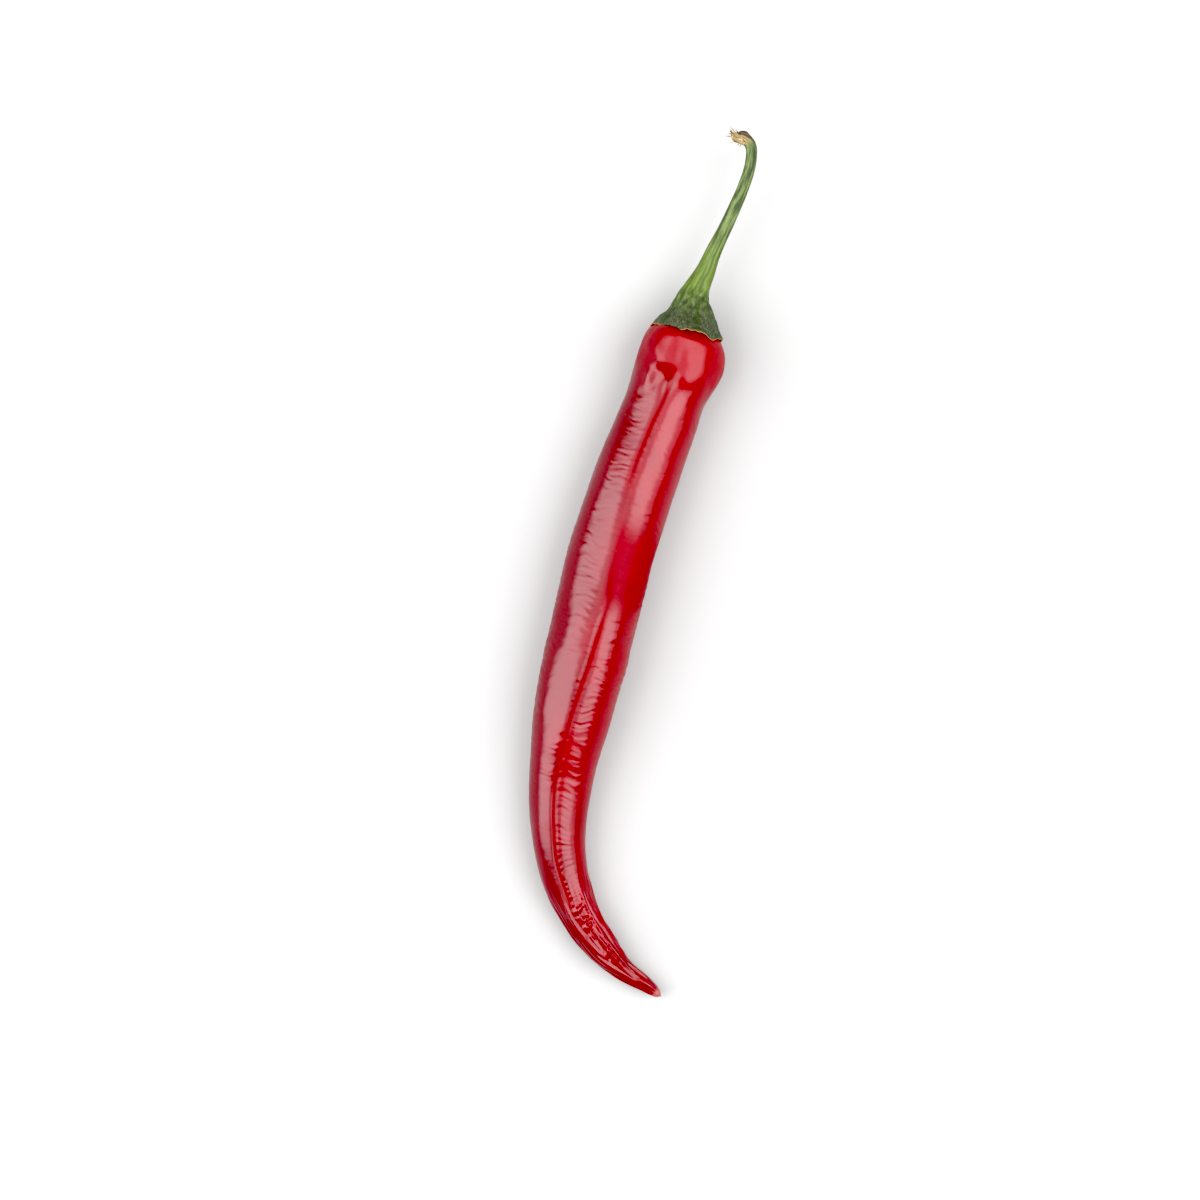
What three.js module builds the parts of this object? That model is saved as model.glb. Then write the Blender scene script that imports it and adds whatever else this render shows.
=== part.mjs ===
// A long red chilli pepper, lying on its side as it was picked.
//
// It comes apart into two pieces: the pod, which is the fruit, and the stalk, whose foot spreads
// into the green calyx that caps the pod's shoulder. Both are lofts: rings of points set square
// to a curved centre line, closed by a single point at each end.
//
// Millimetres, +Z up. The pod hangs down the -Y way and the stalk runs up the +Y way. The origin
// is on the surface that the pepper lies on, under the middle of its box.
import * as THREE from "three";

// ---- The pod
const POD_LENGTH = 155; // along its bent centre line, from under the calyx to the tip
const POD_WIDTH = 18.2; // across the shoulder
const POD_HEIGHT = 17.4; // top to bottom at the shoulder, before the underside is levelled
const SHOULDER_DEPTH = 8; // how far below its top the pod reaches its full width
const TIP_WIDTH = 2.2; // the blunt end
const TIP_ROUNDING = 1.4; // the length over which the end closes
const TIP_LIFT = 1.6; // how far the tip curls off the surface
const RESTING_DEPTH = 0.4; // how much of the round underside is levelled where the pod lies
const LOBE_DEPTH = 0.28; // the three seed chambers swell the shoulder by this much
const LOBE_REACH = 45; // and fade out this far down the pod

// ---- The calyx: the green cap that the stalk spreads into
const CALYX_DEPTH = 3.4; // how far its rim reaches down the pod's shoulder
const CALYX_COLLAR = 11.6; // its width at the top of the pod
const CALYX_FLARE = 4.9; // how quickly it narrows to the stalk
const RIM_THICKNESS = 0.45;
const TEETH = 5; // the blunt points of the rim, one for each sepal
const TOOTH_LENGTH = 0.8;
const TOOTH_THICKNESS = 0.25; // how much each sepal's rib stands out
const CLEARANCE = 0.3; // between the calyx and the pod

// ---- The stalk
const STALK_LENGTH = 42.5; // from the top of the pod to its broken end, along the bend
const STALK_FOOT_WIDTH = 3;
const STALK_END_WIDTH = 2.2;
const STALK_RISE = 4.5; // how much higher its end is than its foot

// ---- How the pepper bends. Each pair is a share of the length and the way it heads there, in
// degrees: 0 is straight along Y, and more turns the pod's lower end to -X and the stalk to +X.
const POD_BEND = [
  [0, 17], [0.07, 19], [0.15, 21.5], [0.26, 19], [0.38, 14], [0.51, 13.5], [0.63, 8.5],
  [0.73, -3.5], [0.82, -23], [0.9, -40], [0.96, -60], [1, -80],
];
const STALK_BEND = [
  [0, 10], [0.12, 14], [0.25, 21], [0.38, 26], [0.52, 25], [0.66, 22], [0.76, 16],
  [0.83, 6], [0.88, -9], [0.92, -42], [0.96, -82], [1, -112],
];

// The pod's width down its length, as a share of its width at the shoulder.
const POD_PROFILE = [
  [0.07, 0.99], [0.12, 0.94], [0.2, 0.955], [0.3, 0.985], [0.41, 0.985], [0.5, 0.95],
  [0.58, 0.87], [0.64, 0.76], [0.7, 0.67], [0.75, 0.595], [0.8, 0.53], [0.85, 0.455],
  [0.9, 0.385], [0.94, 0.305], [0.97, 0.225], [1, TIP_WIDTH / POD_WIDTH],
];

const SIDES = 40; // points round a ring
const POD_STEP = 3; // between the rings of the pod
const STALK_STEP = 2;
const HOOK_STEP = 0.6; // closer rings where the stalk's end hooks over

// A smooth curve through pairs of [place, value], level beyond its two ends.
function through(pairs, x) {
  const last = pairs.length - 1;
  if (x <= pairs[0][0]) return pairs[0][1];
  if (x >= pairs[last][0]) return pairs[last][1];
  const slope = (i) => {
    const a = pairs[Math.max(i - 1, 0)], b = pairs[Math.min(i + 1, last)];
    return (b[1] - a[1]) / (b[0] - a[0]);
  };
  const i = pairs.findIndex(([place]) => place > x) - 1;
  const [x0, y0] = pairs[i], [x1, y1] = pairs[i + 1];
  const span = x1 - x0, t = (x - x0) / span;
  return (
    y0 * (1 + 2 * t) * (1 - t) ** 2 + y1 * t * t * (3 - 2 * t) +
    span * t * (1 - t) * (slope(i) * (1 - t) - slope(i + 1) * t)
  );
}

// The plan of a centre line that sets off along Y with the given sign and turns as its bend says:
// a function from a length along it to a place in X and Y.
function planOf(bend, length, sign) {
  const steps = 800, step = length / steps;
  const places = [new THREE.Vector2()];
  for (let i = 0; i < steps; i++) {
    const heading = THREE.MathUtils.degToRad(through(bend, (i + 0.5) / steps));
    const way = new THREE.Vector2(Math.sin(heading), Math.cos(heading));
    places.push(places[i].clone().addScaledVector(way, sign * step));
  }
  return (along) => {
    const at = THREE.MathUtils.clamp(along / step, 0, steps - 1e-6);
    return places[Math.floor(at)].clone().lerp(places[Math.floor(at) + 1], at % 1);
  };
}

const podPlan = planOf(POD_BEND, POD_LENGTH, -1);
const stalkPlan = planOf(STALK_BEND, STALK_LENGTH, 1);
const ease = (t) => THREE.MathUtils.smoothstep(t, 0, 1);

// ---- The pod's shape
// Half its width if it had no rounded ends, and how far those ends have closed, from 0 to 1.
const girth = (s) => (POD_WIDTH / 2) * through(POD_PROFILE, s / POD_LENGTH);
function closing(s) {
  const top = Math.max(0, 1 - s / SHOULDER_DEPTH);
  const end = Math.max(0, 1 - (POD_LENGTH - s) / TIP_ROUNDING);
  return Math.sqrt(Math.max(0, 1 - top * top)) * Math.sqrt(Math.max(0, 1 - end * end));
}

function podCentre(s) {
  const { x, y } = podPlan(s);
  const halfHeight = (girth(s) * POD_HEIGHT) / POD_WIDTH;
  const lift = TIP_LIFT * ease((s / POD_LENGTH - 0.7) / 0.3);
  return new THREE.Vector3(x, y, halfHeight - RESTING_DEPTH + lift);
}

// Three vectors at a place on a centre line: the way along it, and the ring's side and top.
function squareTo(centre, s, end, way) {
  const a = centre(Math.max(s - 0.2, 0)), b = centre(Math.min(s + 0.2, end));
  const along = b.sub(a).normalize().multiplyScalar(way);
  const side = new THREE.Vector3(0, 0, 1).cross(along).normalize();
  return { along, side, top: along.clone().cross(side) };
}

// The skin at a length down the pod and an angle round it, where 0 is the top.
function podPoint(s, angle) {
  const { side, top } = squareTo(podCentre, s, POD_LENGTH, -1);
  const lobes = LOBE_DEPTH * Math.cos(3 * angle) * ease(1 - s / LOBE_REACH);
  const half = (girth(s) + lobes) * closing(s);
  const point = podCentre(s)
    .addScaledVector(side, half * Math.sin(angle))
    .addScaledVector(top, ((half * POD_HEIGHT) / POD_WIDTH) * Math.cos(angle));
  point.z = Math.max(point.z, 0); // the levelled strip that the pod lies on
  return point;
}

// A point that stands off the pod's skin by a distance.
function offPod(s, angle, distance) {
  const d = 0.01;
  const down = podPoint(s + d, angle).sub(podPoint(s - d, angle));
  const round = podPoint(s, angle + d).sub(podPoint(s, angle - d));
  return podPoint(s, angle).addScaledVector(round.cross(down).normalize(), distance);
}

// ---- The stalk's shape
const poleTop = podCentre(0);
const upwards = squareTo(podCentre, 0, POD_LENGTH, -1).along;

function stalkCentre(h) {
  const { x, y } = stalkPlan(h);
  const rise = STALK_RISE * ease(h / STALK_LENGTH);
  return new THREE.Vector3(x, y, rise).add(poleTop).addScaledVector(upwards, CLEARANCE);
}

const ribs = (angle) => Math.cos(TEETH * angle);

function stalkPoint(h, angle) {
  const { side, top } = squareTo(stalkCentre, h, STALK_LENGTH, 1);
  const taper = THREE.MathUtils.lerp(STALK_FOOT_WIDTH, STALK_END_WIDTH, h / STALK_LENGTH) / 2;
  const flare = ((CALYX_COLLAR - STALK_FOOT_WIDTH) / 2) * Math.exp(-h / CALYX_FLARE);
  const half = (taper + flare) * (1 + 0.04 * ribs(angle));
  return stalkCentre(h)
    .addScaledVector(side, half * Math.sin(angle))
    .addScaledVector(top, half * Math.cos(angle));
}

// How far down the shoulder the rim reaches, with a tooth under each rib.
const rimDepth = (angle) => CALYX_DEPTH + (TOOTH_LENGTH / 2) * ribs(angle);

// ---- Lofting
const angles = Array.from({ length: SIDES }, (_, j) => (j / SIDES) * 2 * Math.PI);

// A closed skin from a first point, through rings, to a last point. Its faces point outwards on a
// run of rings that goes down the pod; one that climbs the stalk is flipped.
function loft(first, rings, last, flip = false) {
  const vertices = [first, ...rings.flat(), last];
  const at = (ring, j) => 1 + ring * SIDES + (j % SIDES);
  const end = vertices.length - 1;
  const faces = [];
  for (let j = 0; j < SIDES; j++) {
    faces.push([0, at(0, j), at(0, j + 1)]);
    for (let i = 0; i < rings.length - 1; i++) {
      faces.push([at(i, j), at(i + 1, j), at(i + 1, j + 1)]);
      faces.push([at(i, j), at(i + 1, j + 1), at(i, j + 1)]);
    }
    faces.push([at(rings.length - 1, j), end, at(rings.length - 1, j + 1)]);
  }
  const order = flip ? faces : faces.map(([a, b, c]) => [a, c, b]);
  return new THREE.BufferGeometry().setFromPoints(vertices).setIndex(order.flat());
}

// Places from one end of a stretch to the other, about a step apart, without the first.
function paces(from, to, step) {
  const count = Math.max(1, Math.round((to - from) / step));
  return Array.from({ length: count }, (_, i) => from + ((to - from) * (i + 1)) / count);
}

// Shares from just over 0 to 1 that crowd towards 0, for a stretch that closes to a point.
const crowded = (count) =>
  Array.from({ length: count }, (_, i) => 1 - Math.cos(((i + 1) / count) * (Math.PI / 2)));

function podGeometry() {
  const shoulder = crowded(8).map((share) => share * SHOULDER_DEPTH);
  const body = paces(SHOULDER_DEPTH, POD_LENGTH - TIP_ROUNDING, POD_STEP);
  const tip = crowded(4).map((share) => POD_LENGTH - share * TIP_ROUNDING).reverse().slice(1);
  const rings = [...shoulder, ...body, ...tip].map((s) => angles.map((a) => podPoint(s, a)));
  return loft(podPoint(0, 0), rings, podPoint(POD_LENGTH, 0));
}

function stalkGeometry() {
  // The hollow underside follows the pod's shoulder out to the rim.
  const under = crowded(6).map((share) =>
    angles.map((a) => offPod(share * rimDepth(a), a, CLEARANCE)),
  );
  // The outside climbs from the rim to the collar, swelling a little over each sepal.
  const rim = (a) =>
    offPod(rimDepth(a), a, CLEARANCE + RIM_THICKNESS + (TOOTH_THICKNESS * (1 + ribs(a))) / 2);
  const outside = [0, 0.35, 0.7].map((share) =>
    angles.map((a) => rim(a).lerp(stalkPoint(0.5, a), share)),
  );
  const hookStart = 0.86 * STALK_LENGTH;
  const heights = [
    0.5, ...paces(0.5, hookStart, STALK_STEP), ...paces(hookStart, STALK_LENGTH, HOOK_STEP),
  ];
  const stem = heights.map((h) => angles.map((a) => stalkPoint(h, a)));
  const foot = poleTop.clone().addScaledVector(upwards, CLEARANCE);
  return loft(foot, [...under, ...outside, ...stem], stalkCentre(STALK_LENGTH), true);
}

// ---- Putting it together
function piece(name, geometry, color, roughness) {
  const material = new THREE.MeshStandardMaterial({ color, roughness, metalness: 0 });
  geometry.computeVertexNormals();
  const mesh = new THREE.Mesh(geometry, material);
  mesh.name = name;
  return mesh;
}

const pepper = new THREE.Group();
pepper.add(piece("pod", podGeometry(), 0xb00820, 0.28));
pepper.add(piece("stalk", stalkGeometry(), 0x7d8c50, 0.62));

// The origin goes under the middle of the box, on the surface.
const box = new THREE.Box3().setFromObject(pepper);
const middle = box.getCenter(new THREE.Vector3());
pepper.position.set(-middle.x, -middle.y, -box.min.z);

export default pepper;
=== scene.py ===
# %% [markdown]
# # A red chilli pepper
#
# A whole chilli is two things that grew: the pod, a thin-skinned hollow fruit, and the stalk,
# whose foot spreads into the calyx, the green cap on the pod's shoulder. This lesson grows both
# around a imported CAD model, which fixes their size and place. The way is the same for each: a
# ring is extruded along a straight line, the skin's bumps and wrinkles are worked into the
# straight form, where "along" and "round" are plain numbers, and only then is it bent.

# %% Load the frame and keep its box
import math

import bpy
import numpy as np
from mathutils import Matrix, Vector, noise


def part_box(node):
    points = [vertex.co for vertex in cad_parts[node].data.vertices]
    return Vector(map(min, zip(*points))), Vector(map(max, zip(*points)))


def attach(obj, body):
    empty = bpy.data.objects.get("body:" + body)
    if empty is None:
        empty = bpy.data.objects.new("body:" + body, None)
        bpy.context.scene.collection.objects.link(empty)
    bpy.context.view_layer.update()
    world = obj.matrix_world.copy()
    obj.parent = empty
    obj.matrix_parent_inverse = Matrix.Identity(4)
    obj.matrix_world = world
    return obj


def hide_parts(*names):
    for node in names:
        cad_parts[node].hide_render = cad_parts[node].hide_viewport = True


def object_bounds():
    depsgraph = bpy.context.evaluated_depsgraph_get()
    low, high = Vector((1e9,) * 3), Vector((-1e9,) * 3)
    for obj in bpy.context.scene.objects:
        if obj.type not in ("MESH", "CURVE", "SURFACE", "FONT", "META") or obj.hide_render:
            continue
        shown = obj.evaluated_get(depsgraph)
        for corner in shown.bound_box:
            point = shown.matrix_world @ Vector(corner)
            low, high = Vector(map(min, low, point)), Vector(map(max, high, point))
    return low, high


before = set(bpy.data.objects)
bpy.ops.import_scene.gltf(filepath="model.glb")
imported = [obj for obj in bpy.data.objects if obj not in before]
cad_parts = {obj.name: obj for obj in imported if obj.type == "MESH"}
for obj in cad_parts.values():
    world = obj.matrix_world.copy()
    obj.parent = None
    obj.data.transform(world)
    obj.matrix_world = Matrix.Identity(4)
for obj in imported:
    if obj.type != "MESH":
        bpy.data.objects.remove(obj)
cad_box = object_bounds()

MM = 0.001  # the scene is in metres, and a pepper is thought of in millimetres
UP = np.array([0.0, 0.0, 1.0])

print("CAD nodes:", sorted(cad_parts), "box:", [tuple(c) for c in cad_box])

# %% [markdown]
# ## The camera
#
# The pepper lies on a white table and is looked at from straight above. A long lens, far away,
# keeps the sides of the pod from spreading. The view is centred a little to the left of the
# pepper's middle and below it, and takes in a square of about a quarter of a metre.

# %% Look straight down
VIEW_WIDTH = 252 * MM
VIEW_CENTRE = (-9.0 * MM, -7.5 * MM)  # from the middle of the pepper's box
CAMERA_HEIGHT = 1.4

low, high = cad_box
middle = (Vector(low) + Vector(high)) / 2
camera = bpy.data.objects.new("camera", bpy.data.cameras.new("camera"))
bpy.context.collection.objects.link(camera)
camera.location = (middle.x + VIEW_CENTRE[0], middle.y + VIEW_CENTRE[1], CAMERA_HEIGHT)
camera.data.angle = 2 * math.atan(VIEW_WIDTH / 2 / (CAMERA_HEIGHT - middle.z))
camera.data.clip_end = 20
bpy.context.scene.camera = camera
print("camera's view is", round(math.degrees(camera.data.angle), 1), "degrees wide")

# %% [markdown]
# ## Measuring the CAD pieces
#
# The CAD pod already has the right bend and girth, so the fine pod takes both from it. A flat
# cut through its skin, square to the way the pod runs, gives a ring of points, and the ring's
# middle, half-width and half-height. A short step further on, the next cut is made, until the
# skin ends. Walking both ways from the middle gives the whole centre line.

# %% Cut across a CAD piece
def skin_edges(node):
    """Both ends of every edge of a CAD node."""
    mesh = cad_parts[node].data
    points = np.array([v.co for v in mesh.vertices])
    return points[np.array([e.vertices for e in mesh.edges])]


def cut_across(edges, place, way, reach):
    """The points where a flat cut through a place, square to a way, meets the skin."""
    height = (edges - place) @ way
    crossed = height[:, 0] * height[:, 1] < 0
    start, end = edges[crossed, 0], edges[crossed, 1]
    share = height[crossed, :1] / (height[crossed, :1] - height[crossed, 1:])
    points = start + (end - start) * share
    return points[np.linalg.norm(points - place, axis=1) < reach]


def unit(vector):
    return vector / np.linalg.norm(vector)


def ring_size(points, place, way):
    """The middle of a cut, and half of its width and of its height."""
    side = unit(np.cross(UP, way))
    top = np.cross(way, side)
    across, tall = (points - place) @ side, (points - place) @ top
    centre = place + side * (across.max() + across.min()) / 2 + top * (tall.max() + tall.min()) / 2
    return centre, np.ptp(across) / 2, np.ptp(tall) / 2


# %% Walk along a CAD piece
FEWEST = 12  # points in a cut, under which the skin has ended
SHARPEST = math.cos(math.radians(40))  # the most that the way may turn in one step
BASELINE = 5  # rings over which the way of a rounded end is taken


def walk(edges, place, way, step, reach, rounding_over=0.9):
    """Rings from a place to the end of the skin, and then the end point itself. Once a ring is
    this much smaller than the last, the end is rounding over. There a cut's middle wanders, so
    the walk goes straight on."""
    rings, rounded = [], False
    while True:
        points = cut_across(edges, place, way, reach)
        if len(points) < FEWEST:
            break
        centre, wide, tall = ring_size(points, place, way)
        if rings and not rounded:
            rounded = wide < rounding_over * rings[-1][1]
            baseline = rings[-min(len(rings), BASELINE)] if rounded else rings[-1]
            onward = unit(centre - baseline[0])
            if onward @ way < SHARPEST:
                break
            way = onward
            rings.append((centre, wide, tall))
        else:
            rings.append((place if rounded else centre, wide, tall))
        reach = 1.5 * max(wide, tall) + 1 * MM
        place = rings[-1][0] + way * step
    last = rings[-1][0]
    near = edges.reshape(-1, 3)
    near = near[np.linalg.norm(near - last, axis=1) < reach]
    end = last + way * max(((near - last) @ way).max(), 0.1 * MM)
    return rings + [(end, 0.0, 0.0)]


class Form:
    """A piece as if straightened: its centre line, and its half-width and half-height along it."""

    def __init__(self, rings):
        centres, wide, tall = (np.array(column) for column in zip(*rings))
        self.centres = centres
        self.along = np.r_[0, np.cumsum(np.linalg.norm(np.diff(centres, axis=0), axis=1))]
        self.wide, self.tall = wide, tall
        self.length = self.along[-1]

    def half(self, sizes, along):
        """A half-size at a length along. Squares are mixed, because a round end closes so."""
        return float(np.sqrt(np.interp(along, self.along, sizes**2)))

    def centre(self, along):
        return np.array([np.interp(along, self.along, self.centres[:, i]) for i in range(3)])

    def way(self, along, over=2 * MM):
        return unit(self.centre(along + over) - self.centre(along - over))


# %% Measure the pod
TIPWARDS = np.array([0, -1.0, 0])
STALKWARDS = np.array([0, 1.0, 0])
POD_STEP = 1.5 * MM
POD_REACH = 14 * MM  # further than the skin is from the first cut's middle
DOME = 0.97  # the shoulder rounds over slowly, so it is noticed early

pod_edges = skin_edges("pod")
pod_low, pod_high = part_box("pod")
start = np.array((pod_low + pod_high) / 2)
start, _, _ = ring_size(cut_across(pod_edges, start, TIPWARDS, 1), start, TIPWARDS)
to_tip = walk(pod_edges, start, TIPWARDS, POD_STEP, POD_REACH)
to_stalk = walk(pod_edges, start, STALKWARDS, POD_STEP, POD_REACH, DOME)
pod_form = Form(to_stalk[::-1] + to_tip[1:])
print("pod: centre line", round(pod_form.length / MM, 1), "mm")
print("pod: half-width", round(pod_form.wide.max() / MM, 2), "mm")

# %% [markdown]
# The stalk is measured in the same way, from the middle of its length. Towards the pod it is
# measured only as far as the calyx, which is a hollow cap: its skirt is drawn later as a cone,
# from there over the pod's shoulder and down to where the CAD rim ends.

# %% Measure the stalk and the calyx
CAP_HEIGHT = 4 * MM  # above the pod's top, where the calyx narrows to the stalk
STALK_STEP = 0.7 * MM
STALK_REACH = 5 * MM
stalk_edges = skin_edges("stalk")
pod_top = pod_form.centres[0]
pod_up = -pod_form.way(3 * MM, 3 * MM)
stalk_points = stalk_edges.reshape(-1, 3)
rim_depth = -((stalk_points - pod_top) @ pod_up).min()

stalk_low, stalk_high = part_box("stalk")
start = np.array((stalk_low + stalk_high) / 2)
way = unit(np.array([0.4, 1.0, 0.1]))
points = cut_across(stalk_edges, start, way, 8 * MM)
start, _, _ = ring_size(points, start, way)
to_end = walk(stalk_edges, start, way, STALK_STEP, STALK_REACH)
to_pod = walk(stalk_edges, start, -way, STALK_STEP, STALK_REACH)
to_pod = [ring for ring in to_pod if (ring[0] - pod_top) @ pod_up > CAP_HEIGHT]
stalk_form = Form(to_pod[::-1] + to_end[1:])
print("stalk:", round(stalk_form.length / MM, 1), "mm long")
print("the rim reaches", round(rim_depth / MM, 2), "mm down the pod")

# %% [markdown]
# ## Growing a form ring by ring
#
# This is how the body of a bottle or a branch is made by hand: add a circle, extrude it a step,
# scale it, and so on, and pull each end to a point. Twenty sides are enough, because a
# Subdivision Surface modifier rounds them and gives the fine mesh that wrinkles need.

# %% Extrude a ring along the X axis
SIDES = 20
CAGE_SHRINK = (2 + math.cos(2 * math.pi / SIDES)) / 3  # how much subdividing draws a ring in


def deselect():
    bpy.ops.object.select_all(action="DESELECT")


def select_points(piece, chosen):
    """Leaves just the chosen points selected, in edit mode."""
    bpy.ops.object.mode_set(mode="OBJECT")
    for kind in (piece.data.edges, piece.data.polygons):
        kind.foreach_set("select", np.zeros(len(kind), bool))
    piece.data.vertices.foreach_set("select", chosen)
    bpy.ops.object.mode_set(mode="EDIT")
    bpy.ops.mesh.select_mode(type="VERT")


def points_of(piece):
    flat = np.empty(len(piece.data.vertices) * 3)
    piece.data.vertices.foreach_get("co", flat)
    return flat.reshape(-1, 3)


def close_to_point(step):
    """Draws the selected ring out by a step and gathers it into one point."""
    bpy.ops.mesh.extrude_region_move(TRANSFORM_OT_translate={"value": (step, 0, 0)})
    bpy.ops.mesh.merge(type="CENTER")


def grow(name, start, rings, end):
    """A closed skin from a start point on the X axis, through rings of (along, half-width,
    half-height), to an end point."""
    deselect()
    bpy.ops.mesh.primitive_circle_add(vertices=SIDES, radius=1, rotation=(0, math.pi / 2, 0))
    piece = bpy.context.object
    piece.name = piece.data.name = name
    bpy.ops.object.transform_apply(rotation=True)
    bpy.ops.object.mode_set(mode="EDIT")
    along, wide, tall = rings[0]
    bpy.ops.transform.resize(value=(1, wide, tall), center_override=(0, 0, 0))
    bpy.ops.transform.translate(value=(along, 0, 0))
    for next_along, next_wide, next_tall in rings[1:]:
        bpy.ops.mesh.extrude_region_move(TRANSFORM_OT_translate={"value": (next_along - along, 0, 0)})
        bpy.ops.transform.resize(
            value=(1, next_wide / wide, next_tall / tall), center_override=(next_along, 0, 0)
        )
        along, wide, tall = next_along, next_wide, next_tall
    close_to_point(end - along)
    bpy.ops.object.mode_set(mode="OBJECT")
    first_ring = np.arange(len(piece.data.vertices)) < SIDES
    select_points(piece, first_ring)
    close_to_point(start - rings[0][0])
    bpy.ops.mesh.select_all(action="SELECT")
    bpy.ops.mesh.normals_make_consistent(inside=False)
    bpy.ops.object.mode_set(mode="OBJECT")
    return piece


def subdivide(piece, levels):
    """Rounds the cage and keeps the result."""
    deselect()
    piece.select_set(True)
    bpy.context.view_layer.objects.active = piece
    rounding = piece.modifiers.new("rounding", "SUBSURF")
    rounding.levels = rounding.render_levels = levels
    bpy.ops.object.modifier_apply(modifier=rounding.name)
    bpy.ops.object.shade_smooth()


# %% [markdown]
# ## The pod, still straight
#
# The rings stand about two millimetres apart, and closer where the shoulder and the tip round
# over. Each takes its half-width and half-height from the measured form.

# %% Grow the pod
SHOULDER = 8 * MM  # the stretch that rounds over under the calyx
SHOULDER_TURNS = np.radians([18, 33, 48, 62, 76])  # where the rings stand on that quarter round
TIP = 0.8 * MM  # the stretch that rounds over at the other end
TIP_TURNS = np.radians([35, 60])
TIP_POINT = 0.35 * MM  # how far the last point is pulled past the CAD tip
RING_STEP = 2.2 * MM
SETTLE = 0.25 * MM  # the soft underside sinks this much before it is levelled


def evenly(start, end, step):
    return list(np.linspace(start, end, round((end - start) / step) + 1))


pod_places = [SHOULDER * (1 - math.cos(turn)) for turn in SHOULDER_TURNS]
pod_places += evenly(SHOULDER, pod_form.length - TIP, RING_STEP)
pod_places += [pod_form.length - TIP * (1 - math.sin(turn)) for turn in TIP_TURNS]
pod_rings = []
for along in pod_places:
    wide = pod_form.half(pod_form.wide, along) / CAGE_SHRINK
    tall = pod_form.half(pod_form.tall, along) / CAGE_SHRINK + SETTLE
    pod_rings.append((along, wide, tall))
pod = grow("chilli_pod", 0, pod_rings, pod_form.length + TIP_POINT)
subdivide(pod, 3)
print("pod:", len(pod.data.vertices), "points,", len(pod.data.polygons), "faces")

# %% [markdown]
# ## Working the skin
#
# A chilli's skin is no smooth tube. The shoulder swells over its seed chambers, a furrow runs
# down where two chambers meet, and the thin skin dries into fine ripples across the pod and into
# deep folds at the tip. On the straight form each of these is easy to place: a millimetre along,
# a millimetre round from the top. The moves are sums of three kinds of stroke. A *press* is a round
# push in or out, a *furrow* follows a line, and *grain* is soft noise, stretched one way.

# %% Strokes for working a skin
def smooth(low, high, x):
    """0 below low, 1 above high, and a soft step between them."""
    t = np.clip((x - low) / (high - low), 0, 1)
    return t * t * (3 - 2 * t)


def between(start, end, x, soft):
    """1 from a start to an end, softening to 0 outside them."""
    return smooth(start - soft, start + soft, x) * (1 - smooth(end - soft, end + soft, x))


class Skin:
    """The points of a straight form, as mm along it and mm round it from the top."""

    def __init__(self, piece):
        points = points_of(piece) / MM
        self.points = points
        self.along = points[:, 0]
        self.angle = np.arctan2(points[:, 1], points[:, 2])
        self.radius = np.hypot(points[:, 1], points[:, 2])
        self.round = self.angle * self.radius

    def press(self, along, round_, length, width, height):
        """A soft push in or out: its middle, its half-length, its half-width, all in mm."""
        away = ((self.along - along) / length) ** 2 + ((self.round - round_) / width) ** 2
        return height * np.exp(-1.4 * away)

    def shelf(self, along, length, round_, width, height, slant):
        """A swelling that steps down, over a length, towards the tip; slant skews the step."""
        side = np.exp(-1.4 * ((self.round - round_) / width) ** 2)
        before = self.along - slant * (self.round - round_)
        return height * side * (1 - smooth(along - length / 2, along + length / 2, before))

    def furrow(self, line, width):
        """A push that follows a line of (along, round, height)."""
        places, sides, heights = zip(*line)
        middle = np.interp(self.along, places, sides)
        height = np.interp(self.along, places, heights, left=0, right=0)
        return height * np.exp(-(((self.round - middle) / width) ** 2))

    def grain(self, size, seed, warp=0):
        """Soft noise from about -1 to 1; size is its cell in mm along, and across."""
        along = self.along + warp
        cells = np.stack([along / size[0], self.points[:, 1] / size[1], self.points[:, 2] / size[1]], 1)
        return np.array([noise.noise(Vector(cell)) for cell in cells + seed])


def raise_skin(piece, height):
    """Moves each point outwards along its normal, by a height in mm."""
    normals = np.empty(len(piece.data.vertices) * 3)
    piece.data.vertices.foreach_get("normal", normals)
    moved = points_of(piece) + normals.reshape(-1, 3) * (height * MM)[:, None]
    piece.data.vertices.foreach_set("co", moved.ravel())
    piece.data.update()


# %% [markdown]
# "Round" is measured from the top of the lying pod, and grows towards its right as one looks
# down at it with the stalk away. First come the large swellings and hollows, the step where the
# plump shoulder ends, and the furrow that runs down the top between two seed chambers.

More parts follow.
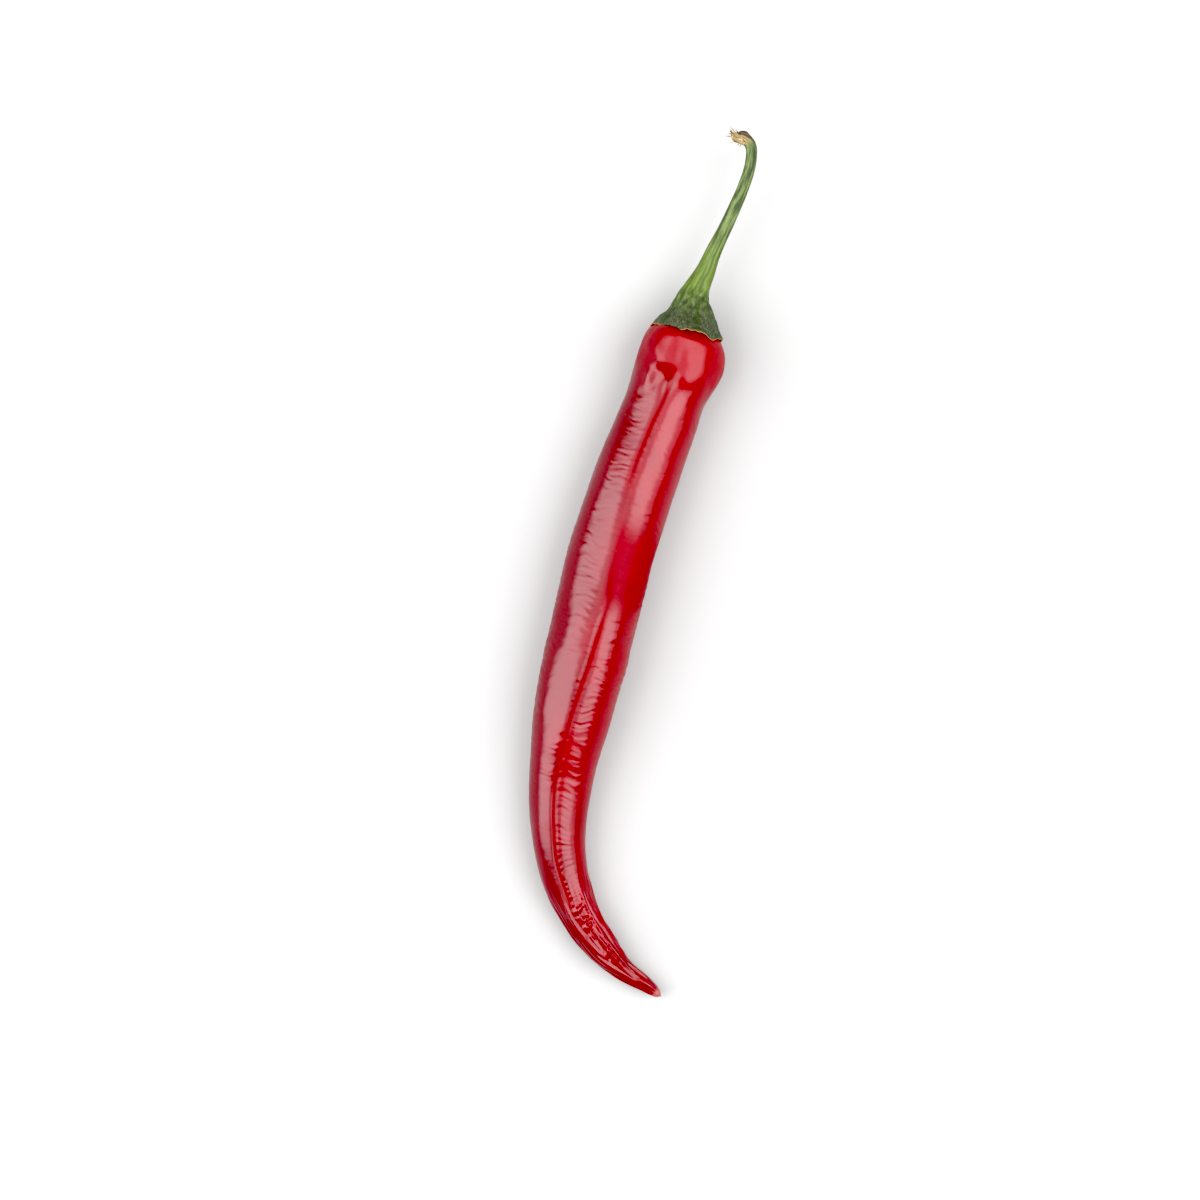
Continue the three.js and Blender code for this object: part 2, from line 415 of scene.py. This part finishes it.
# %% The pod's swellings, hollows and furrows
skin = Skin(pod)
PRESSES = [  # along, round, half-length, half-width, height
    (4.6, 1.0, 1.8, 6.0, 0.28),  # both shoulders, squared off under the calyx
    (5.6, -3.4, 2.2, 4.4, 0.26),
    (10.0, 4.8, 4.6, 3.5, 0.46),  # the right chamber's shoulder
    (5.6, 4.8, 2.0, 3.4, 0.20),
    (14.3, -2.4, 2.8, 4.6, -0.50),  # the hollow below the left one
    (14.6, -5.5, 2.0, 1.3, 0.55),  # a knuckle at its edge
    (15.4, -3.9, 2.4, 0.8, -0.14),
    (18.4, -5.9, 1.8, 1.6, -0.14),
    (15.2, -0.8, 3.4, 1.1, -0.30),
    (9.5, 13.5, 5.0, 5.0, 0.42),
    (17.0, 14.0, 4.0, 6.0, -0.60),  # the waist under the shoulder
    (17.5, -13.0, 5.0, 5.0, -0.20),
    (36.0, -6.5, 7.0, 3.0, 0.16),
    (58.0, 9.5, 9.0, 2.8, 0.20),
    (70.0, -4.2, 7.0, 2.4, 0.26),
    (84.0, -4.5, 9.0, 3.2, -0.34),
    (77.0, 4.2, 10.0, 3.0, 0.26),
    (110.0, -7.5, 8.0, 3.0, -0.16),
    (141.0, -5.5, 7.0, 3.5, -0.50),
    (146.0, 0.0, 4.5, 12.0, -0.50),
    (130.0, -5.0, 5.0, 2.5, -0.20),
    (135.0, 5.0, 7.0, 2.2, 0.18),
]
FURROW = [  # along, round, height
    (11, -0.2, 0), (16, -0.2, -0.12), (24, -0.8, -0.16), (32, -1.0, -0.15), (41, -0.7, -0.05),
    (52, 0.0, 0), (62, 2.0, -0.08), (70, 1.4, -0.20), (78, 0.8, -0.20), (88, -0.2, -0.14),
    (95, -0.6, -0.14), (102, -1.0, -0.12), (112, -1.0, -0.12), (123, -0.9, -0.10), (130, -1.4, 0),
]  # fmt: skip
swelling = sum(skin.press(*press) for press in PRESSES)
swelling += skin.shelf(11.4, 3.6, -4.0, 4.8, 0.95, 0.30)
swelling += skin.shelf(13.2, 1.8, 2.6, 2.6, 0.10, 0.45)
swelling += skin.furrow(FURROW, 0.9)
swelling += 0.26 * skin.grain((16, 8), 3.1) + 0.10 * skin.grain((6, 4), 8.4)
swelling += 0.15 * skin.grain((2.4, 2.2), 14.8) * between(4, 15, skin.along, 2)
print("swellings from", round(swelling.min(), 2), "to", round(swelling.max(), 2), "mm")

# %% [markdown]
# Next come the ripples, about a millimetre apart, that run across the pod. They waver, because
# the noise that makes them is itself shifted along by slower noise. They are faint on the plump
# shoulder and deepest halfway down. In the tail they mostly keep to the right of the long crease,
# where a *ladder* of evenly spaced rungs joins them.

# %% The pod's ripples
waver = 1.3 * skin.grain((7, 3.5), 5.5)
coarse = np.interp(skin.along, [40, 55], [0.35, 0.8])
ripple = skin.grain((0.5, 3.0), 1.7, waver) + coarse * skin.grain((1.0, 4.5), 9.2, waver)
RIPPLE_DEPTH = [  # along, height
    (3, 0.008), (12, 0.024), (16, 0.055), (34, 0.075), (52, 0.110), (80, 0.120),
    (94, 0.080), (104, 0.075), (118, 0.060), (140, 0.06), (152, 0.04),
]  # fmt: skip
strength = np.interp(skin.along, *zip(*RIPPLE_DEPTH))
patches = 0.65 + 0.6 * skin.grain((9, 6), 12.9)
beside = between(-0.9, 2.6, skin.round, 0.5)  # right of the crease, where the tail wrinkles
strength *= 1 - 0.85 * smooth(98, 110, skin.along) * (1 - beside)
ripples = strength * patches * ripple
RUNG_GAP = 1.2
ladder = 0.028 * between(110, 128, skin.along, 5) * beside
ripples += ladder * np.sin(2 * math.pi * (skin.along + waver) / RUNG_GAP)

# %% [markdown]
# The last third dries first. Its skin gathers into pillows between two long ridges on top, and
# the tip folds lengthwise. A fold is sharp in its bottom and round on its back, which is noise
# with its negative half turned up.

# %% The folds towards the tip
dry = smooth(116, 136, skin.along)
top_strip = np.exp(-(((skin.round - 0.4) / 2.1) ** 2) * 1.5)
pillows = 0.40 * between(127, 143, skin.along, 3) * top_strip
pillows *= np.abs(skin.grain((1.5, 3.0), 6.6, 0.5 * waver)) * 2.2 - 0.4
RIDGES = [
    [(122, 2.2, 0), (128, 2.2, 0.24), (138, 2.0, 0.30), (147, 1.2, 0)],
    [(120, -2.2, 0), (128, -2.0, 0.22), (140, -1.7, 0.28), (151, -0.6, 0)],
]
CREASES = [
    [(98, -1.0, 0), (105, -1.25, -0.18), (112, -0.9, -0.20), (118, -1.2, -0.22),
     (124, -0.8, -0.22), (130, -1.3, -0.16), (138, -1.0, 0)],
    [(122, 1.0, 0), (130, 1.0, -0.14), (142, 0.3, -0.26), (151, 0.3, 0)],
    [(128, -3.2, 0), (138, -2.6, -0.30), (149, -1.6, -0.22), (153, -1.0, 0)],
    [(132, 3.4, 0), (141, 2.6, -0.26), (150, 1.6, -0.20), (153, 1.0, 0)],
]
lines = sum(skin.furrow(ridge, 0.38) for ridge in RIDGES)
lines += sum(skin.furrow(crease, 0.42) for crease in CREASES)
folds = dry * (np.abs(skin.grain((10, 1.1), 15.3)) * 1.8 - 0.7) * 0.45
folds *= np.clip(skin.radius / 3.5, 0.15, 1)

uncovered = smooth(2.8, 5.0, skin.along)  # the calyx hides the top, which stays smooth
pod_end = pod_form.length / MM
blunt = 1 - smooth(pod_end - 3, pod_end, skin.along)  # the very tip stays smooth too
height = uncovered * (swelling + ripples + (pillows + lines + folds) * blunt)
raise_skin(pod, height)
print("skin worked by", round(height.min(), 2), "to", round(height.max(), 2), "mm")

# %% [markdown]
# The finish will need to know where it is on the straight pod, to run its streaks along the skin
# and not through it. So before bending, every point keeps three attributes: *grown*, its straight
# place in millimetres; *raised*, how far it was pushed out; and *creased*, which is 1 in the bottom
# of the furrow and of the creases and 0 on open skin, because the wax is dull in there and painted
# shade darkens them.

# %% Remember the straight form
def remember(piece, name, kind, values):
    attribute = piece.data.attributes.new(name, kind, "POINT")
    attribute.data.foreach_set("vector" if kind == "FLOAT_VECTOR" else "value", values.ravel())


remember(pod, "grown", "FLOAT_VECTOR", skin.points.astype(np.float32))
remember(pod, "raised", "FLOAT", height.astype(np.float32))
in_furrow = -skin.furrow(FURROW, 0.55) / 0.14
in_creases = -sum(skin.furrow(crease, 0.25) for crease in CREASES) / 0.25
creased = in_furrow + in_creases
remember(pod, "creased", "FLOAT", np.clip(creased, 0, 1).astype(np.float32))

# %% [markdown]
# ## Bending
#
# A Curve modifier carries the straight form along a curve drawn through the measured middles.
# The curve keeps its up side up, so the top of the pod stays the top all the way round the bend.

# %% Bend a piece along a centre line
def bend(piece, name, centres):
    """Bends a straight piece along a smooth curve through the given middles."""
    guide = bpy.data.curves.new(name, "CURVE")
    guide.dimensions = "3D"
    guide.twist_mode = "Z_UP"
    guide.resolution_u = 16
    spline = guide.splines.new("BEZIER")
    spline.bezier_points.add(len(centres) - 1)
    for point, centre in zip(spline.bezier_points, centres):
        point.co = centre
        point.handle_left_type = point.handle_right_type = "AUTO"
    guide_object = bpy.data.objects.new(name, guide)
    bpy.context.collection.objects.link(guide_object)
    deselect()
    piece.select_set(True)
    bpy.context.view_layer.objects.active = piece
    bending = piece.modifiers.new("bending", "CURVE")
    bending.object = guide_object
    bending.deform_axis = "POS_X"
    bpy.ops.object.modifier_apply(modifier=bending.name)
    bpy.data.objects.remove(guide_object)


def level(piece, floor=0.0):
    """Presses flat whatever reaches below the surface that the pepper lies on."""
    points = points_of(piece)
    points[:, 2] = np.maximum(points[:, 2], floor)
    piece.data.vertices.foreach_set("co", points.ravel())
    piece.data.update()


# %% Bend the pod and lay it down
GUIDE_STEP = 4 * MM
guide_places = evenly(0, pod_form.length, GUIDE_STEP)
bend(pod, "pod_guide", [pod_form.centre(along) for along in guide_places])
level(pod)
got = points_of(pod)
print("pod box, mm:", (got.min(0) / MM).round(1), (got.max(0) / MM).round(1))
print("CAD box, mm:", [round(c / MM, 1) for c in (*pod_low, *pod_high)])

# %% [markdown]
# ## The stalk and its calyx, still straight
#
# The calyx is the stalk's own foot, spread over the shoulder like a limpet, so both are one skin.
# It starts at a point under the cap, runs down the hollow underside to the rim, turns over the
# thin edge, and climbs the outside up to the stalk's end. Along is measured from the rim.

# %% Grow the stalk
RIM = 0.34 * MM  # how thick the calyx is at its edge
HUG = 0.1 * MM  # between the calyx and the measured pod, before either skin is worked
SKIRT_CURVE = 1.25  # above 1, the cone of the skirt is a little hollow
collar = stalk_form.half(stalk_form.wide, 0)
stalk_foot = float((stalk_form.centres[0] - pod_top) @ pod_up)
skirt = rim_depth - 0.2 * MM  # a little short of the CAD rim, because the teeth reach further
rim_half = pod_form.half(pod_form.wide, skirt)

stalk_rings = []
for share in (0.15, 0.45, 0.8):  # the underside, from the middle out
    depth = skirt * share**2
    half = pod_form.half(pod_form.wide, depth) + HUG
    stalk_rings.append((skirt - depth + HUG, half, half))
stalk_rings.append((0.0, rim_half + HUG, rim_half + HUG))
stalk_rings.append((0.12 * MM, rim_half + HUG + RIM, rim_half + HUG + RIM))
climb = skirt + stalk_foot
for share in (0.12, 0.3, 0.5, 0.7, 0.88):  # the outside of the skirt, a cone
    half = collar + (rim_half + RIM - collar) * (1 - share) ** SKIRT_CURVE
    stalk_rings.append((climb * share, half, half))
for along in evenly(0.3 * MM, stalk_form.length - 0.6 * MM, 0.85 * MM):
    wide = stalk_form.half(stalk_form.wide, along)
    tall = stalk_form.half(stalk_form.tall, along)
    stalk_rings.append((climb + along, wide, tall))
stalk_rings = [(along, wide / CAGE_SHRINK, tall / CAGE_SHRINK) for along, wide, tall in stalk_rings]
stalk_length = climb + stalk_form.length
stalk = grow("chilli_stalk", skirt + 1.2 * HUG, stalk_rings, stalk_length)
subdivide(stalk, 3)
print("stalk:", len(stalk.data.vertices), "points,", round(stalk_length / MM, 1), "mm long")

# %% [markdown]
# The stalk is worked like the pod. Low ribs run down it, one into each tooth of the calyx, with
# long fibres between them, and its last four millimetres are roughened where it was torn. The rim
# is drawn down at the teeth and up between them. Last, the whole cap is turned a little about the
# middle of the pod's shoulder, because it sits askew. It isn't fitted to the swollen skin again,
# so its edge sinks in on the left and stands off on the right.

# %% Work the stalk
stem = Skin(stalk)
SEPALS = 5
TOOTH = -0.80  # where one of the calyx's teeth points, in radians from the top
from_tooth = stem.angle - TOOTH
ribs = 0.08 * np.cos(SEPALS * from_tooth) + 0.05 * np.cos(11 * stem.angle + stem.along * 0.08)
fibres = 0.14 * stem.grain((9, 0.75), 4.4) + 0.07 * stem.grain((5, 0.35), 7.7)
STALK_END = stalk_length / MM
torn = smooth(STALK_END - 4.6, STALK_END - 3.2, stem.along)
raised = (ribs + fibres) * np.clip(stem.radius / 2.5, 0.5, 1.6) * smooth(0.2, 1.5, stem.along)
raised += torn * (0.45 * stem.grain((2.2, 0.55), 21.7) + 0.25 * stem.grain((0.7, 0.45), 30.2))
raise_skin(stalk, raised)

arches = 1 - 2 * np.abs(np.sin(SEPALS / 2 * from_tooth))  # 1 at a tooth, -1 between two
scallops = 0.48 * arches + 0.25 * stem.grain((50, 3.2), 2.2)
scallops += 0.30 * stem.grain((50, 0.9), 3.3)
LEAN = math.radians(7)  # how far the cap is turned on the pod's shoulder
near_rim = (1 - smooth(0, 4.0, stem.along)) * smooth(4.5, 7.0, stem.radius)
moved = points_of(stalk)
moved[:, 0] -= scallops * near_rim * MM
turn = LEAN * (1 - smooth(4, 15, stem.along))
ahead, left = moved[:, 0] + (SHOULDER - skirt), moved[:, 1].copy()
moved[:, 0] += ahead * (np.cos(turn) - 1) - left * np.sin(turn)
moved[:, 1] = ahead * np.sin(turn) + left * np.cos(turn)
stalk.data.vertices.foreach_set("co", moved.ravel())
stalk.data.update()
remember(stalk, "grown", "FLOAT_VECTOR", stem.points.astype(np.float32))
remember(stalk, "raised", "FLOAT", raised.astype(np.float32))

# %% [markdown]
# The stalk bends along its own measured middles. The line starts at the rim, runs straight up the
# pod's axis to its top, and goes on from there.

# %% Bend the stalk
rim_middle = pod_top - pod_up * skirt
line = [rim_middle, pod_top] + [stalk_form.centre(a) for a in evenly(0, stalk_form.length, 1.5 * MM)]
bend(stalk, "stalk_guide", line)
got = points_of(stalk)
print("stalk box, mm:", (got.min(0) / MM).round(1), (got.max(0) / MM).round(1))
print("CAD box, mm:", [round(c / MM, 1) for c in (*stalk_low, *stalk_high)])

# %% [markdown]
# The stalk was torn from its bush, so its end is ragged: a few short fibres, each a thin cone,
# stick out of the pale pith. They are grown like the rest, turned by their object and put in
# place, and then joined into one piece.

# %% Fibres at the torn end
FIBRES = [  # back from the end, sideways, up, length, thickness, turn left, turn up
    (1.2, 0.55, 0.45, 2.1, 0.30, -14, 22),
    (1.6, -0.60, 0.30, 1.7, 0.26, 38, 8),
    (0.8, 0.10, 0.55, 1.8, 0.24, 10, 30),
    (0.6, -0.35, -0.30, 1.5, 0.28, 24, -18),
    (1.0, 0.75, -0.10, 2.3, 0.20, -22, 4),
    (2.3, -0.95, 0.20, 1.3, 0.22, 68, 6),
    (3.0, -1.00, 0.45, 1.2, 0.18, 84, 12),
    (0.5, 0.35, 0.05, 1.3, 0.34, 4, 0),
    (2.0, 0.80, 0.55, 1.6, 0.16, -30, 26),
]  # fmt: skip
fibre_pieces = []
for number, (back, side, rise, length, thick, left, up) in enumerate(FIBRES):
    half = thick / 2
    rings = [(0.1, half, half)]
    rings += [(length * 0.4, half, half * 0.8), (length * 0.8, half * 0.6, half * 0.4)]
    rings = [tuple(size * MM for size in ring) for ring in rings]
    fibre = grow("fibre_%d" % number, 0, rings, length * MM)
    subdivide(fibre, 1)
    place = stalk_form.length - back * MM
    way = stalk_form.way(place, 0.8 * MM)
    sideways = unit(np.cross(way, UP))
    heading = math.atan2(way[1], way[0]) + math.radians(left)
    fibre.rotation_euler = (0, -math.radians(up), heading)
    fibre.location = stalk_form.centre(place) + sideways * side * MM + UP * rise * MM
    bpy.ops.object.transform_apply(location=True, rotation=True)
    fibre_pieces.append(fibre)
deselect()
for fibre in fibre_pieces:
    fibre.select_set(True)
fibres_piece = fibre_pieces[0]
bpy.context.view_layer.objects.active = fibres_piece
bpy.ops.object.join()
fibres_piece.name = fibres_piece.data.name = "torn_fibres"
print("torn end:", len(FIBRES), "fibres,", len(fibres_piece.data.polygons), "faces")

# %% [markdown]
# ## Shader maths
#
# A finish is a small sum: so much of this colour where that noise is high. Written as nodes by
# hand, a sum is long to read. One class wraps a socket, so that + - * / on it add Math nodes, and
# one method adds any other node.

# %% Sockets that add up
class Wire:
    """A node's output that can be used in sums."""

    def __init__(self, finish, socket):
        self.finish, self.socket = finish, socket

    def _sum(self, operation, first, second):
        return self.finish.node("ShaderNodeMath", {"operation": operation}, {0: first, 1: second})

    def __add__(self, other):
        return self._sum("ADD", self, other)

    def __sub__(self, other):
        return self._sum("SUBTRACT", self, other)

    def __rsub__(self, other):
        return self._sum("SUBTRACT", other, self)

    def __mul__(self, other):
        return self._sum("MULTIPLY", self, other)

    def __truediv__(self, other):
        return self._sum("DIVIDE", self, other)

    __radd__, __rmul__ = __add__, __mul__


class Finish:
    """A material under construction."""

    def __init__(self, name):
        self.material = bpy.data.materials.new(name)
        self.material.use_nodes = True
        self.tree = self.material.node_tree
        self.tree.nodes.clear()

    def node(self, kind, settings=None, sockets=None, output=0):
        """Adds a node: its settings first, then the values or wires of its sockets."""
        node = self.tree.nodes.new(kind)
        for name, value in (settings or {}).items():
            if name == "stops":
                ramp = node.color_ramp
                while len(ramp.elements) < len(value):
                    ramp.elements.new(1)
                for element, (place, colour) in zip(ramp.elements, value):
                    element.position, element.color = place, colour
            else:
                setattr(node, name, value)
        for name, value in (sockets or {}).items():
            if isinstance(value, Wire):
                self.tree.links.new(value.socket, node.inputs[name])
            else:
                node.inputs[name].default_value = value
        return Wire(self, node.outputs[output]) if node.outputs else None

    def step(self, value, low, high):
        """0 where a value is below low, 1 above high, and a soft step between them."""
        sockets = {"Value": value, "From Min": low, "From Max": high}
        return self.node("ShaderNodeMapRange", {"interpolation_type": "SMOOTHSTEP"}, sockets)

    def mix(self, share, first, second, blend="MIX"):
        """A colour mix. Inputs 6 and 7 and output 2 are the Mix node's colour sockets."""
        settings = {"data_type": "RGBA", "blend_type": blend, "clamp_factor": True}
        return self.node("ShaderNodeMix", settings, {0: share, 6: first, 7: second}, 2)

    def noise(self, place, scale, detail=2.0, roughness=0.5, stretch=(1, 1, 1)):
        """Noise at a place, finer as its scale grows, squeezed by its stretch."""
        squeezed = self.node("ShaderNodeVectorMath", {"operation": "MULTIPLY"}, {0: place, 1: stretch})
        sockets = {"Vector": squeezed, "Scale": scale, "Detail": detail, "Roughness": roughness}
        return self.node("ShaderNodeTexNoise", None, sockets)

    def split(self, vector):
        """The three numbers of a vector."""
        separated = self.node("ShaderNodeSeparateXYZ", None, {0: vector}).socket.node
        return [Wire(self, output) for output in separated.outputs]

    def attribute(self, name, output):
        """A remembered attribute: output 1 is its vector, output 2 its number."""
        return self.node("ShaderNodeAttribute", {"attribute_name": name}, None, output)

    def bump(self, height, strength, distance, below=None):
        sockets = {"Height": height, "Strength": strength, "Distance": distance}
        if below:
            sockets["Normal"] = below
        return self.node("ShaderNodeBump", None, sockets)

    def done(self, piece, **shader):
        """The Principled shader, with its sockets, as the piece's one material."""
        sockets = {name.replace("_", " "): value for name, value in shader.items()}
        surface = self.node("ShaderNodeBsdfPrincipled", None, sockets)
        self.node("ShaderNodeOutputMaterial", None, {"Surface": surface})
        piece.data.materials.clear()
        piece.data.materials.append(self.material)


def colour(code):
    """A colour from its hexadecimal code, as the linear numbers that shaders use."""
    parts = [int(code[i : i + 2], 16) / 255 for i in (1, 3, 5)]
    linear = [p / 12.92 if p <= 0.04045 else ((p + 0.055) / 1.055) ** 2.4 for p in parts]
    return (*linear, 1)


# %% [markdown]
# ## The pod's finish
#
# Ripe skin is a deep clear red under a thin wax, clouded and streaked in tone. It is darker down its
# left side and brighter down its right, which is painted shade and painted light, and a warmer red
# just under the calyx. Its hollows, furrow and creases are darkened too, which is painted shade.
# The wax is a coat over the red. It shines a third less where the skin is *plump*, over the
# shoulder, and hardly at all in the creases and where the skin is *slack*, in one dull patch down
# the right side, between a third and a half of the way along.

# %% Red skin
red = Finish("chilli_skin")
grown = red.attribute("grown", 1)
raised_pod = red.attribute("raised", 2)
creased_pod = red.attribute("creased", 2)
along_pod, side_pod, _ = red.split(grown)

TIP_END = float(skin.along.max())
clouds = red.noise(grown, 0.09, 3, 0.55)
streaks = red.noise(grown, 0.55, 3, 0.6, (0.12, 1, 1))
# painted shade and light: the skin is darker down its left side and lighter down its right; the clouds
# and streaks are its own tone
side_shade_and_tone = red.step(side_pod * 0.05 + clouds * 0.8 + streaks * 0.35, 0.25, 0.95)
skin_colour = red.mix(side_shade_and_tone, colour("#6a0c1c"), colour("#880d1f"))
warm = (1 - red.step(along_pod + clouds * 14, 6, 30)) * 0.55
skin_colour = red.mix(warm, skin_colour, colour("#9c0e1a"))
# painted shade: the skin is darkened where it sinks in
sunken_shade = red.step(raised_pod * -1, 0.05, 0.6)
skin_colour = red.mix(sunken_shade * 0.5, skin_colour, colour("#740a12"))
# painted shade: the furrow and the creases are darkened
skin_colour = red.mix(creased_pod * 0.8, skin_colour, colour("#780712"))
dead_tip = red.step(along_pod + clouds * 1.5, TIP_END - 1.6, TIP_END - 0.5)
skin_colour = red.mix(dead_tip * 0.75, skin_colour, colour("#a8686a"))
spots = {"Vector": grown, "Scale": 0.42, "Randomness": 1}
specks = red.node("ShaderNodeTexVoronoi", {"feature": "F1"}, spots)
speck = (1 - red.step(specks, 0.035, 0.06)) * red.step(clouds, 0.5, 0.6)
skin_colour = red.mix(speck * 0.5, skin_colour, colour("#e07070"))

fine = red.noise(grown, 2.2, 2, 0.5, (1, 0.25, 0.25))
pores = red.noise(grown, 6.0, 2, 0.6)
wrinkled = red.bump(fine, 0.35, 0.12 * MM)
wrinkled = red.bump(pores, 0.12, 0.05 * MM, wrinkled)
plump = 1 - red.step(along_pod + clouds * 4, 11, 19)
slack = red.step(along_pod + clouds * 8, 46, 54) * (1 - red.step(along_pod + clouds * 8, 64, 70))
slack = slack * red.step(side_pod + clouds * 2, 0.6, 2.2)  # where the skin went dull
wax = 0.25 + streaks * 0.12 + plump * 0.14 + creased_pod * 0.35 + slack * 0.2
red.done(
    pod,
    Base_Color=skin_colour,
    Roughness=wax,
    Normal=wrinkled,
    Specular_IOR_Level=0.25,
    Specular_Tint=(1, 0.9, 0.9, 1),
    Coat_Weight=(0.27 - plump * 0.09) * (1 - creased_pod * 0.9) * (1 - slack * 0.9),
    Coat_Roughness=0.20,
    Coat_IOR=2.0,
)

# %% [markdown]
# ## The stalk's finish
#
# The stalk is a fresh green where it flares out of the cap, darker and streaked along its fibres
# further up. The cap itself is a greyer, dusty green with a dry tan edge. At the torn end pale
# pith shows on one side and brown bark on the other.

# %% Green stalk
green = Finish("chilli_stalk_skin")
grown = green.attribute("grown", 1)
raised_stalk = green.attribute("raised", 2)
along_stalk, side_stalk, _ = green.split(grown)
streaks = green.noise(grown, 1.5, 3, 0.65, (0.12, 1, 1))
blotches = green.noise(grown, 0.35, 3, 0.6)
threads = green.noise(grown, 5.0, 3, 0.75, (0.15, 1, 1))

stalk_colour = green.mix(green.step(streaks, 0.36, 0.66), colour("#323f2a"), colour("#6f7d4b"))
flare = green.step(along_stalk, 7, 11) * (1 - green.step(along_stalk, 14, 25))
stalk_colour = green.mix(flare * 0.6, stalk_colour, colour("#667a34"))
cap = 1 - green.step(along_stalk + blotches * 5, 5.5, 11)
cap_colour = green.mix(green.step(threads, 0.4, 0.75), colour("#3c4133"), colour("#71775f"))
stalk_colour = green.mix(cap, stalk_colour, cap_colour)
# painted shade: the stalk is darkened where its surface sinks between ribs and fibres
furrow_shade = green.step(raised_stalk * -1, 0.0, 0.12)
stalk_colour = green.mix(furrow_shade * 0.6, stalk_colour, colour("#3c4a2b"))
edge = 1 - green.step(along_stalk, 0.1, 0.5)
stalk_colour = green.mix(edge * 0.75, stalk_colour, colour("#a8804c"))
pith_colour = green.mix(green.step(threads, 0.42, 0.62), colour("#6b5436"), colour("#b9a97e"))
bark = green.step(threads * 0.9 - side_stalk, 0.25, 0.6)
bark_colour = green.mix(green.step(streaks, 0.42, 0.6), colour("#352b22"), colour("#8a7a5c"))
pith_colour = green.mix(bark, pith_colour, bark_colour)
torn_end = green.step(along_stalk + blotches * 1.5, STALK_END - 3.9, STALK_END - 3.1)
stalk_colour = green.mix(torn_end, stalk_colour, pith_colour)
fibrous = green.bump(threads, 0.5, 0.15 * MM)
fibrous = green.bump(streaks, 0.5, 0.2 * MM, fibrous)
green.done(stalk, Base_Color=stalk_colour, Roughness=0.5 + threads * 0.2, Normal=fibrous)

# %% [markdown]
# The loose fibres are dry and straw-coloured. They are too fine to have a straight form of their
# own, so their noise simply reads the place of each point.

# %% Dry fibres
dry_fibre = Finish("dry_fibre")
place = dry_fibre.node("ShaderNodeTexCoord", None, None, 3)
grains = dry_fibre.noise(place, 1400, 3, 0.7, (1, 0.5, 1))
fibre_colour = dry_fibre.mix(dry_fibre.step(grains, 0.4, 0.62), colour("#4d3a27"), colour("#b8a67c"))
dry_fibre.done(
    fibres_piece,
    Base_Color=fibre_colour,
    Roughness=0.75 + grains * 0.15,
    Normal=dry_fibre.bump(grains, 0.6, 0.1 * MM),
)

# %% [markdown]
# ## Setting and light
#
# The table is plain white. Four soft panels hang overhead, two on each side of a gap where the
# camera looks down, so each side of the pod's top carries its own long soft highlight. Of each
# pair, the smaller panel gives the highlight a brighter core. The white surroundings are kept
# faint, and the view's black level is raised a little, which deepens the shadows.

# %% Floor, lights and surroundings
deselect()
bpy.ops.mesh.primitive_plane_add(size=8)
floor = bpy.context.object
floor.name = "floor"
white = Finish("table_white")
white.done(floor, Base_Color=(0.45, 0.45, 0.45, 1), Roughness=0.95)


def panel(name, tilt, heading, distance, width, depth, power):
    """A soft light that faces the pepper, tilted from straight above towards a heading."""
    light = bpy.data.lights.new(name, "AREA")
    light.shape, light.size, light.size_y = "RECTANGLE", width, depth
    light.energy = power
    hung = bpy.data.objects.new(name, light)
    bpy.context.collection.objects.link(hung)
    tilt, heading = math.radians(tilt), math.radians(heading)
    aside = math.sin(tilt)
    away = Vector((aside * math.cos(heading), aside * math.sin(heading), math.cos(tilt)))
    hung.location = middle + away * distance
    hung.rotation_euler = away.to_track_quat("Z", "Y").to_euler()
    hung.visible_camera = False


panel("right_wide", 35.5, 2, 1.0, 1.04, 1.70, 13.2)
panel("right_core", 36, -10, 1.0, 1.08, 0.80, 8.4)
panel("left_wide", 44.5, 178, 1.0, 1.00, 1.70, 14.6)
panel("left_core", 48, 181, 1.0, 0.88, 1.15, 9.4)

world = bpy.data.worlds.new("studio")
world.use_nodes = True
world.node_tree.nodes["Background"].inputs["Color"].default_value = (1, 1, 1, 1)
world.node_tree.nodes["Background"].inputs["Strength"].default_value = 0.12
bpy.context.scene.world = world

view = bpy.context.scene.view_settings
view.view_transform = "Standard"
view.use_curve_mapping = True
view.curve_mapping.black_level = (0.08, 0.08, 0.08)

# %% [markdown]
# ## Back to the frame
#
# All three pieces ride on the part's one body. The pod and the stalk take the places of their CAD
# nodes, and the fibres are an addition.

# %% Put the pieces on the body and hide their CAD nodes
for piece, slot in ((pod, "pod_skin"), (stalk, "stalk_green"), (fibres_piece, "stalk_green")):
    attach(piece, "root")
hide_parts("pod")
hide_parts("stalk")
